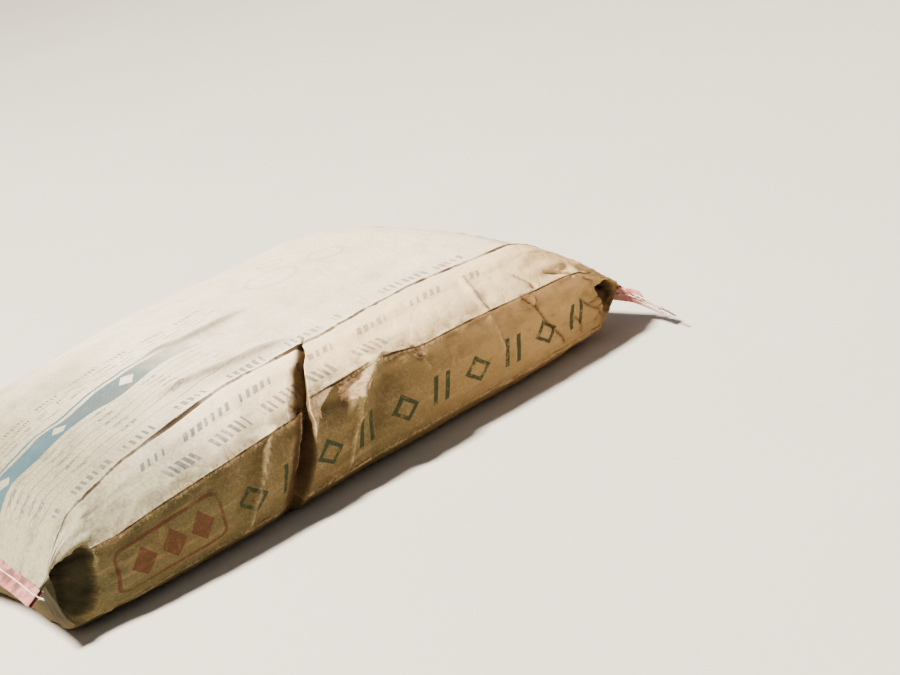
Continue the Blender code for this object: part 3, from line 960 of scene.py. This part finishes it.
def paper_print(n, u, s, medium):
    """Masks of the green, grey, ruled, teal, ringed and red print."""
    # Diamond outlines and pairs of slanted bars in turn along the lower panel
    place = (s + PITCH_START) / DIAMOND_PITCH
    cell, in_cell = place.floor(), place.fract()
    height = abs(u - DIAMOND_ROW)
    odd = (cell * 0.5).fract() > 0.25
    across = abs(in_cell - 0.5) * DIAMOND_PITCH
    diamond = (across * 0.78 + height * 0.92).inside(0.0078, 0.0128, 0.0004)
    leaning = abs((in_cell - 0.5) * DIAMOND_PITCH - (u - DIAMOND_ROW) * 0.34)
    pair = leaning.inside(0.0045, 0.0098, 0.0004) * height.ramp(0.014, 0.0132)
    green = (odd * pair + (1.0 - odd) * diamond) * s.inside(-0.15, 0.29)

    grey = either(*(strokes(n, u, s, *row) for row in STROKE_ROWS))

    # Thin rules with short entries between them
    rules = ((u / RULE_PITCH).fract() < 0.075) * u.inside(0.186, 0.252) * s.inside(-0.32, -0.05)
    entries = (
        (((u + 0.0035) / RULE_PITCH).fract() < 0.34)
        * u.inside(0.188, 0.25)
        * ((s / ENTRY_PITCH).fract() < 0.3)
        * s.inside(-0.31, -0.06)
        * n.noise(n.vector(u * 2.0, s), 260.0, 2.0, 0.5).ramp(0.42, 0.52)
    )

    # A band with lozenges left out of it and a line beside it, both fading out
    gap = abs((s / BAND_PITCH).fract() - 0.5)
    mark = (gap * BAND_PITCH + abs(u - BAND_ROW)).ramp(0.0095, 0.0088)
    band = u.inside(0.259, 0.288) * s.inside(BAND_FROM, BAND_TO) * (1.0 - mark)
    teal = either(band, u.inside(0.2925, 0.2955) * s.inside(BAND_FROM, BAND_TO))
    fading = (s + (medium - 0.5) * 0.05).ramp(-0.03, -0.13)

    rings = []
    for at_u, at_s, radius in RINGS:
        du, ds = u - at_u, s - at_s
        rings.append((du * du + ds * ds).sqrt().inside(radius - RING_LINE, radius))

    # A rounded frame with three lozenges, low on the side
    fu, fs = abs(u - FRAME_ROW), abs(s - FRAME_PLACE)
    qu, qs = either(fu - 0.014, 0.0), either(fs - 0.046, 0.0)
    frame_line = (qu * qu + qs * qs).sqrt().inside(0.0074, 0.0108)
    ls = abs(((s + LOZENGE_START) / LOZENGE_PITCH).fract() - 0.5)
    lozenge = (ls * LOZENGE_PITCH + fu * 0.8) < 0.0132
    red = either(frame_line, lozenge * (fs < 0.0465))
    return green, grey, either(rules, entries), teal, fading, either(*rings), red


# Materials

# Where a folded edge is rubbed: place round the paper and how far
CREASE_RUBS = (
    (LOWER, 0.0060),
    (MIDDLE - 0.0016, 0.0046),
    (UPPER, 0.0030),
    (BACK_UPPER, 0.0030),
    (BACK_MIDDLE, 0.0050),
    (GIRTH, 0.0060),
)
# Where a crease shows as a dark broken line: place, noise range, width and strength
CREASE_LINES = (
    (UPPER - 0.0010, 0.36, 0.60, 0.0012, 0.95),
    (MIDDLE - 0.0004, 0.36, 0.62, 0.0012, 0.88),
    (0.0030, 0.50, 0.62, 0.0010, 0.65),
    (BACK_UPPER + 0.0012, 0.46, 0.68, 0.0012, 0.85),
)


def kraft_material():
    n = Nodes("kraft_paper")
    uv = n.add("ShaderNodeUVMap", 0, uv_map="paper")
    u, s = n.split(uv)
    hollow, up, torn, slit_bare_and_shade, pocket_shade = (n.attribute(k) for k in ("hollow", "up", "torn", "slit_bare_and_shade", "pocket_shade"))
    tip, crack, worn_edge, fold = (n.attribute(k) for k in ("tip", "crack", "worn_edge", "fold"))
    slipped = s.ramp(*SLIP_BEGINS) * s.ramp(*SLIP_ENDS) * CREASE_SLIP
    unslipped = u - slipped

    def paper_by(at):
        """Place round the paper, as a crease at that place has it: only the middle -Y one slips."""
        return unslipped if abs(at - MIDDLE) < 0.01 else u

    broad = n.noise(uv, 9.0, 5.0, 0.55)
    medium = n.noise(uv, 45.0, 6.0, 0.6)
    fine = n.noise(uv, 260.0, 5.0, 0.65)
    fibre = n.noise(n.vector(u, s * 0.25), 1400.0, 3.0, 0.6)
    long_streaks = n.noise(n.vector(u * 3.0, s * 0.35), 40.0, 5.0, 0.6)
    grit = n.noise(n.vector(u, s * 0.45), 120.0, 9.0, 0.72, 0.3)
    # Patches that darken the near end: partly dirt, partly painted shade
    smears_and_shade = n.noise(uv, 24.0, 8.0, 0.68, 0.3).ramp(0.5, 0.68)
    specks = n.noise(uv, 300.0, 7.0, 0.74)
    dash_noise = n.noise(n.vector(0.0, s), 26.0, 5.0, 0.62)
    broad_off, medium_off, fine_off = broad - 0.5, medium - 0.5, fine - 0.5
    in_fine = fine.ramp(0.3, 0.7)

    # Bare paper: darker and greyer toward the near end, partly dirt and partly painted shade, and a lighter
    # tan toward the far end. It is rubbed along the folded edges and torn by the wrinkle.
    to_far = (s + broad_off * 0.1).ramp(-0.02, 0.26)
    near_dirt_and_shade = (s + broad_off * 0.1).ramp(-0.04, -0.3)
    # A paler band just below the middle crease toward the far end: partly scuffed paper, partly painted
    # light
    scuffed_and_lit_below_crease = u.ramp(0.052, 0.071) * u.ramp(MIDDLE + 0.001, MIDDLE) * to_far
    scuffs = (fine * 0.6 + medium * 0.4).ramp(0.44, 0.6)
    rubs = [abs(paper_by(at) - at).ramp(wide, 0.0003) for at, wide in CREASE_RUBS]
    torn_edge = (torn + (fine_off * 1.5 + medium_off * 0.7)).ramp(0.4, 0.62)
    kraft = n.coats(
        n.mix(to_far, (98, 84, 50), (172, 136, 86)),
        (near_dirt_and_shade, (80, 76, 47)),
        (broad.ramp(0.42, 0.7) * 0.4, (102, 78, 46)),
        (medium.ramp(0.45, 0.75) * 0.3, (100, 72, 40)),
        (long_streaks.ramp(0.5, 0.75) * 0.25, (186, 150, 102)),
        (fibre.ramp(0.45, 0.75) * 0.3, (190, 154, 106)),
        (grit.ramp(0.52, 0.72) * (0.14 + to_far * 0.3), (212, 170, 120)),
        (grit.ramp(0.47, 0.32) * (0.22 + to_far * 0.22), (88, 64, 38)),
        # paler band below the middle crease: scuffs and painted light
        (scuffed_and_lit_below_crease * (0.18 + medium.ramp(0.38, 0.6) * 0.42), (222, 178, 124)),
        (either(*rubs) * scuffs * 0.62, n.mix(near_dirt_and_shade, (200, 166, 120), (150, 128, 92))),
        (torn_edge * 0.75, n.mix(in_fine, (176, 128, 84), (232, 198, 162))),
    )

    # Cement dust: over the top face and the panels above the middle creases, thinner elsewhere
    wobble = medium_off * 0.0022
    pu, ps = u + wobble, s + wobble
    upper = (pu - slipped).inside(MIDDLE + 0.0004, BACK_MIDDLE, 0.0006)
    # The flap's tip takes the upper panel's dust, and the band beside the ledge takes it as a painted
    # highlight
    upper = either(upper, (tip + fine_off * 0.9).ramp(0.4, 0.6))
    fade = (s + u.ramp(0.2, 0.11) * 0.045 + broad_off * 0.12).ramp(0.365, 0.2)
    patch = (broad * 0.5 + medium * 0.5).ramp(0.3, 0.7)
    by_crease = unslipped.ramp(MIDDLE + 0.03, MIDDLE + 0.002)
    thinned = by_crease * (0.16 + medium.ramp(0.4, 0.62) * 0.56) * s.ramp(0.27, 0.15)
    # The upper -Y panel gets thicker dust, which makes it as pale as the top face: painted light
    cover = 0.62 + u.ramp(0.165, 0.14) * 0.16 + patch * 0.22
    cover = cover * (0.5 + fade * 0.5) * (1.0 - thinned) * either(up.ramp(-0.6, 0.2), tip * 0.95)
    loose = (medium * 0.5 + fine * 0.5).ramp(0.46, 0.72) * 0.12 + up.ramp(0.3, 0.9) * 0.14
    dust = upper * cover + (1.0 - upper) * loose
    # No dust lies in the wrinkle's valley, on the torn edges and in the corner pockets; in the valley and
    # the pockets the bare dark paper is part of their painted shade
    dust = dust * (1.0 - slit_bare_and_shade * 0.95) * (1.0 - torn_edge * 0.75) * (1.0 - pocket_shade * 0.92)
    warm = u.ramp(0.166, 0.136) * s.ramp(-0.2, 0.02)
    powder = n.coats(
        n.mix(in_fine, (230, 214, 188), (249, 237, 213)),
        # greyer powder and dark smears toward the near end: partly dirt, partly painted shade
        ((s + broad_off * 0.16).ramp(-0.06, -0.25), n.mix(in_fine, (134, 128, 106), (168, 160, 134))),
        (smears_and_shade * near_dirt_and_shade * 0.48, (76, 69, 50)),
        (warm * (0.62 + s.ramp(0.18, 0.32) * 0.33), (252, 213, 152)),
    )

    # Print: the ink is worn, and thinner where dust lies on it
    green, grey, ruled, teal, fading, rings, red = paper_print(n, pu, ps, medium)
    worn = (fine * 0.55 + medium * 0.45).ramp(0.34, 0.5)
    through_dust = 1.0 - dust * (0.14 + s.ramp(-0.18, 0.06) * 0.3)
    showing = worn * through_dust
    solid = (worn * 0.18 + 0.82) * through_dust * (0.25 + fading * 0.75)

    # Frayed fibres and grains of dirt along the sharp middle crease
    frayed = abs(unslipped - MIDDLE).ramp(0.01, 0.001) * s.ramp(0.21, 0.1) * medium.ramp(0.38, 0.52)

    # Dark broken lines in the creases, wider where the top sheet's edge gapes; that wider dark is painted
    # shade in the gap
    gape = abs(s + 0.15).ramp(0.062, 0.01)
    dashes = []
    for at, low, high, wide, strength in CREASE_LINES:
        amount = dash_noise.ramp(low, high)
        if abs(at - UPPER) < 0.002:
            amount = either(amount, gape)
        off = abs(paper_by(at) + medium_off * 0.0014 - at)
        line = (off / ((0.34 + amount * 0.6) * wide)).ramp(1.0, 0.7)
        dashes.append(line * ((0.45 + amount * 0.55) * strength) * (1.0 - tip))
    dashes = either(*dashes)

    # Painted shade: the paper is darkened in the hollows, the folds, the wrinkle and the corner pockets,
    # where shade falls
    hollow_shade = hollow.ramp(0.0005, 0.003) * 0.46 + hollow.ramp(0.003, 0.0058) * 0.3
    surface = n.coats(
        n.mix(dust, kraft, powder),
        (green * showing * 0.92, (38, 54, 34)),
        (grey * showing * 0.86, (58, 68, 74)),
        (ruled * showing * 0.82, (56, 66, 68)),
        (teal * solid, (36, 74, 88)),
        (rings * showing * 0.42, (112, 120, 116)),
        (red * showing * 0.7, (82, 38, 25)),
        (frayed * specks.ramp(0.51, 0.66) * 0.8, (80, 52, 30)),
        (frayed * specks.ramp(0.46, 0.34) * 0.6, (242, 218, 182)),
        # painted shade in the hollows
        (hollow_shade * (1.0 - dust * 0.5), (74, 58, 34)),
        # painted shade in the top face's folds
        (fold * (0.5 + medium.ramp(0.35, 0.65) * 0.26), (116, 98, 74)),
        # painted shade in the wrinkle's valley
        (slit_bare_and_shade * (0.55 + u.ramp(0.095, 0.06) * 0.32), (70, 50, 28)),
        # painted shade in the corner pockets and under the corners' lower edges
        (pocket_shade * 0.8, (40, 38, 26)),
        (worn_edge * (0.18 + scuffs * 0.42), n.mix(dust, (214, 184, 138), (250, 230, 192))),
        (crack * 0.76, (66, 46, 28)),
        (dashes, (52, 34, 20)),
    )

    bent = n.vector(u + medium_off * 0.012, s + broad_off * 0.02)
    facets = {"Vector": bent, "Scale": 55.0}
    facets = n.add("ShaderNodeTexVoronoi", "Distance", facets, feature="DISTANCE_TO_EDGE")
    return n.finished(
        surface,
        0.92,
        0.22,
        (facets.ramp(0.0, 0.1), 0.0004, 0.35),
        (medium, 0.0022, 0.45),
        (fine, 0.0006, 0.55),
        (fibre, 0.00012, 0.45),
        (1.0 - dashes, 0.001, 0.8),
    )


def tape_material():
    n = Nodes("crepe_tape")
    place = n.object_place()
    x, y = n.split(place)
    blot = n.noise(place, 60.0, 5.0, 0.6)
    fine = n.noise(place, 500.0, 4.0, 0.6)
    stretched = n.add("ShaderNodeMapping", 0, {"Vector": place, "Scale": (0.12, 1.0, 0.12)})
    ribs = n.noise(stretched, 900.0, 3.0, 0.55)
    frayed = y.ramp(-HALF_WIDTH - 0.022, -HALF_WIDTH - 0.034)
    # Blotches that darken the near tape: stains and painted shade
    stains_and_shade = 0.5 + n.noise(place, 38.0, 6.0, 0.65).ramp(0.44, 0.6) * 0.42
    pink = n.coats(
        n.mix(blot.ramp(0.35, 0.65), (206, 122, 116), (228, 158, 150)),
        (ribs.ramp(0.5, 0.75) * 0.45, (240, 200, 192)),
        (fine.ramp(0.52, 0.75) * 0.4, (226, 208, 196)),
        (blot.ramp(0.58, 0.72) * 0.45, (214, 196, 182)),
        (frayed * 0.8, (240, 222, 212)),
        # the near tape darkened: stains and painted shade
        (x.ramp(-0.3, -0.34) * stains_and_shade, (84, 52, 46)),
    )
    return n.finished(pink, 0.88, 0.25, (ribs, 0.0005, 0.6), (fine, 0.0003, 0.4))


def thread_material(name, light, dark):
    n = Nodes(name)
    place = n.object_place()
    twist = {"Vector": place, "Scale": 420.0, "Distortion": 0.6}
    twist = n.add("ShaderNodeTexWave", "Fac", twist, wave_type="BANDS", bands_direction="DIAGONAL")
    dirt = n.noise(place, 120.0, 4.0, 0.6)
    _, y = n.split(place)
    soiled = y.ramp(-HALF_WIDTH - 0.052, -HALF_WIDTH - 0.062)
    shade = n.mix(dirt.ramp(0.4, 0.68), light, dark)
    shade = n.mix(soiled * 0.85, shade, (72, 52, 46))
    return n.finished(shade, 0.82, 0.5, (twist, 0.0003, 0.6))


def floor_material():
    n = Nodes("studio_floor")
    soft = n.noise(n.object_place(), 3.0, 3.0, 0.5)
    return n.finished(n.mix(soft, (196, 190, 180), (206, 200, 190)), 0.9)


# Tapes and stitches

STITCH = 0.0078
STATION_GAP = 0.0011
TAPE_PLY = 0.00055
TAPE_STEPS = 12
# Each flap of the tape: side, how much it narrows along the tail and between which places, how uneven
# its edge is, and how far it opens
TAPE_FLAPS = (
    (1, 0.86, 0.024, 0.031, 0.0006, 0.0055),
    (-1, 0.62, 0.012, 0.021, -0.0004, 0.0018),
)
THREAD_STEP = 0.0006
THREAD_SIDES = 7
# A loose tail of the two threads: length of a turn and half its width
TAIL_TURN = 0.004
TAIL_SPREAD = 0.0004


def past_corner(y):
    return max(0.0, -HALF_WIDTH - y)


def seam_point(end, y, reach, off):
    """A place on a lip or on the tail past its corner."""
    x, z = lip_point(float(end), y, reach, off)
    past = past_corner(y)
    sag = TAIL_DROP * (past / TAPE_TAIL[FAR]) ** 1.5
    return (float(x - end * TAIL_SWING * past), float(y), float(z - sag))


def tape_opening(y):
    """Distance of the tape's inner side from the lip's middle."""
    on_lip = float(lip_thickness(y)) / 2 + TAPE_CLEARANCE
    shut = TAPE_THICKNESS / 2
    return on_lip + (shut - on_lip) * min(1.0, past_corner(y) / TAPE_CLOSES_IN)


def tape_profile(y, index):
    """The tape's section at y, as (reach along the lip, offset from its middle) all the way round."""
    inner = tape_opening(y)
    past = past_corner(y)
    fold = LIP_LENGTH + TAPE_CLEARANCE
    start = LIP_LENGTH - TAPE_COVER
    rib = 0.0001 * math.sin(2.9 * index) + 0.00008 * math.sin(1.7 * index + 0.6)
    ragged = math.sin(y * 310.0) + 0.7 * math.sin(y * 173.0 + 2.0) + 0.5 * math.sin(y * 691.0)
    puckered = 0.00035 * (0.5 + 0.5 * math.cos(math.tau * y / STITCH))
    flaps = []
    for side, narrows, first, last, uneven, opens in TAPE_FLAPS:
        wide = float(1.0 - narrows * smooth(first, last, past))
        gape = opens * float(smooth(0.004, 0.045, past))
        for k in range(TAPE_STEPS + 1):
            share = k / TAPE_STEPS
            reach = start + (fold - start) * share + uneven * ragged * (1 - share)
            reach = LIP_LENGTH - (LIP_LENGTH - reach) * wide
            pucker = puckered * float(bell(reach - (LIP_LENGTH - STITCH_FROM_EDGE), 0.0022))
            wave = 0.00025 * math.sin(y * 520.0 + 5.0 * share * side) * (1 - share)
            low = inner + gape * (1 - share) ** 1.3 + wave + rib - pucker
            flaps.append((side, reach, max(low, inner - 0.00005)))
    outer = [(reach, side * (low + TAPE_PLY)) for side, reach, low in flaps]
    inside = [(reach, side * low) for side, reach, low in flaps]
    half = TAPE_STEPS + 1
    radius = inner + TAPE_PLY
    bend_out = [(fold + 0.0009 * math.cos(a), radius * math.sin(a)) for a in (1.0, 0.5, 0.0, -0.5, -1.0)]
    bend_in = [(fold + 0.0002 * math.cos(a), inner * math.sin(a)) for a in (-1.0, 0.0, 1.0)]
    return outer[:half] + bend_out + outer[half:][::-1] + inside[half:] + bend_in + inside[:half][::-1]


def build_tape(name, end):
    """The folded crepe tape with ribs across it and puckers between its stitches."""
    start = HALF_WIDTH + TAPE_PAST_BACK
    stop = -HALF_WIDTH - TAPE_TAIL[end]
    rows = int((start - stop) / STATION_GAP)
    points = []
    for index, y in enumerate(np.linspace(start, stop, rows)):
        points += [seam_point(end, y, reach, off) for reach, off in tape_profile(y, index)]
    around = len(points) // rows
    faces = quads(rows, around, flip=end == FAR)
    # Each cut end is closed by faces between the outer and the inner side
    outer_count = 2 * TAPE_STEPS + 7
    for base, flip in ((0, end == NEAR), ((rows - 1) * around, end == FAR)):
        outer = [base + k for k in range(outer_count)]
        inner = [base + around - 1 - k for k in range(around - outer_count)]
        count = outer_count - 1
        for k in range(count):
            j0 = round(k * (len(inner) - 1) / count)
            j1 = round((k + 1) * (len(inner) - 1) / count)
            face = tuple(dict.fromkeys((outer[k], outer[k + 1], inner[j1], inner[j0])))
            if len(face) >= 3:
                faces.append(face[::-1] if flip else face)
    return new_object(name, points, faces)


def build_thread(name, end, upper):
    """A closed round tube along a thread's path."""
    path = np.array(stitch_path(end, upper))
    ahead = np.gradient(path, axis=0)
    ahead /= np.linalg.norm(ahead, axis=1)[:, None]
    normal = np.array([0.0, 0.0, 1.0])
    points = []
    for centre, forward in zip(path, ahead):
        normal = normal - forward * (normal @ forward)
        normal /= np.linalg.norm(normal)
        other = np.cross(forward, normal)
        for k in range(THREAD_SIDES):
            turn = math.tau * k / THREAD_SIDES
            across = math.cos(turn) * normal + math.sin(turn) * other
            points.append(centre + THREAD_DIAMETER / 2 * across)
    last = (len(path) - 1) * THREAD_SIDES
    faces = quads(len(path), THREAD_SIDES)
    faces.append(tuple(range(THREAD_SIDES))[::-1])
    faces.append(tuple(last + k for k in range(THREAD_SIDES)))
    return new_object(name, points, faces)


def stitch_path(end, upper):
    """A thread of the chain stitch: long stitches on top, a chain of loops below."""
    start = HALF_WIDTH + THREAD_PAST_BACK
    stop = -HALF_WIDTH - THREAD_TAIL[end]
    tape_stop = -HALF_WIDTH - TAPE_TAIL[end]
    points = []
    for y in np.linspace(start, stop, int((start - stop) / THREAD_STEP)):
        face = tape_opening(y) + TAPE_PLY
        phase = (y / STITCH) % 1.0
        if upper:
            on_tape = tape_stop < y < HALF_WIDTH + TAPE_PAST_BACK
            dip = float(bell(min(phase, 1 - phase), 0.1)) if on_tape else 0.0
            off = face + 0.00045 - 0.0011 * dip
            swing = 0.0
        else:
            off = -(face + 0.0006 + 0.00025 * math.cos(2 * math.tau * phase))
            swing = 0.0007 * math.sin(math.tau * phase)
        loose = float(smooth(0.0, 0.004, tape_stop - y))
        spread = (TAIL_SPREAD if upper else -TAIL_SPREAD) * loose
        turn = math.tau * y / TAIL_TURN
        off = off * (1 - loose) + spread * math.cos(turn)
        reach = LIP_LENGTH - STITCH_FROM_EDGE + swing * (1 - loose) + spread * math.sin(turn)
        points.append(seam_point(end, y, reach, off))
    return points


# The stage

CAMERA_AZIMUTH = math.radians(-34.15)
CAMERA_ELEVATION = math.radians(17.44)
CAMERA_ROLL = math.radians(-17.25)
CAMERA_DISTANCE = 2.4966
CAMERA_PAN = (0.2220, 0.0575)
CAMERA_LENS = 100.0
LOOKED_AT = (0.0, 0.0, 0.06)
LIT = (0.0, 0.0, 0.05)
FLOOR_REACH = 40


def place_camera():
    data = bpy.data.cameras.new("camera")
    data.lens = CAMERA_LENS
    data.sensor_width = 36.0
    data.clip_end = 100.0
    camera = put_in_scene("camera", data)
    turn = Matrix.Rotation(CAMERA_AZIMUTH, 4, "Z") @ Matrix.Rotation(math.pi / 2 - CAMERA_ELEVATION, 4, "X")
    turn = turn @ Matrix.Rotation(CAMERA_ROLL, 4, "Z")
    back_off = Matrix.Translation((*CAMERA_PAN, CAMERA_DISTANCE))
    camera.matrix_world = Matrix.Translation(LOOKED_AT) @ turn @ back_off
    bpy.context.scene.camera = camera


def area_light(name, at, size, power, tint):
    data = bpy.data.lights.new(name, "AREA")
    data.shape = "DISK"
    data.size = size
    data.energy = power
    data.color = tint
    light = put_in_scene(name, data)
    light.location = at
    light.rotation_euler = (Vector(at) - Vector(LIT)).to_track_quat("Z", "Y").to_euler()


def build_stage():
    corners = [(x * FLOOR_REACH, y * FLOOR_REACH, 0) for x, y in ((-1, -1), (1, -1), (1, 1), (-1, 1))]
    floor = new_object("floor", corners, [(0, 1, 2, 3)])
    floor.data.materials.append(floor_material())
    area_light("key", (-2.76, 1.44, 5.15), 1.0, 2150.0, (1.0, 0.93, 0.8))
    area_light("fill", (2.3, -1.7, 1.0), 1.8, 9.0, (1.0, 0.93, 0.82))
    world = bpy.data.worlds.new("studio")
    world.use_nodes = True
    sky = world.node_tree.nodes["Background"]
    sky.inputs["Color"].default_value = (0.92, 0.95, 1.0, 1.0)
    sky.inputs["Strength"].default_value = 0.17
    bpy.context.scene.world = world


def build_object():
    sack = build_sack()
    sack.data.materials.append(kraft_material())
    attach(sack, "root")
    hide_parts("sack")
    tape_look = tape_material()
    white = thread_material("sewing_thread", (228, 222, 208), (176, 164, 144))
    dark = thread_material("looper_thread", (196, 186, 168), (96, 84, 72))
    for end, where in ((NEAR, "near"), (FAR, "far")):
        tape = build_tape("binding_tape_" + where, end)
        tape.data.materials.append(tape_look)
        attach(tape, "root")
        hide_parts("tape_" + where)
        for upper, kind, look in ((True, "needle", white), (False, "looper", dark)):
            thread = build_thread(kind + "_stitches_" + where, end, upper)
            thread.data.materials.append(look)
            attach(thread, "root")
            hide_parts(kind + "_thread_" + where)


place_camera()
build_stage()
build_object()
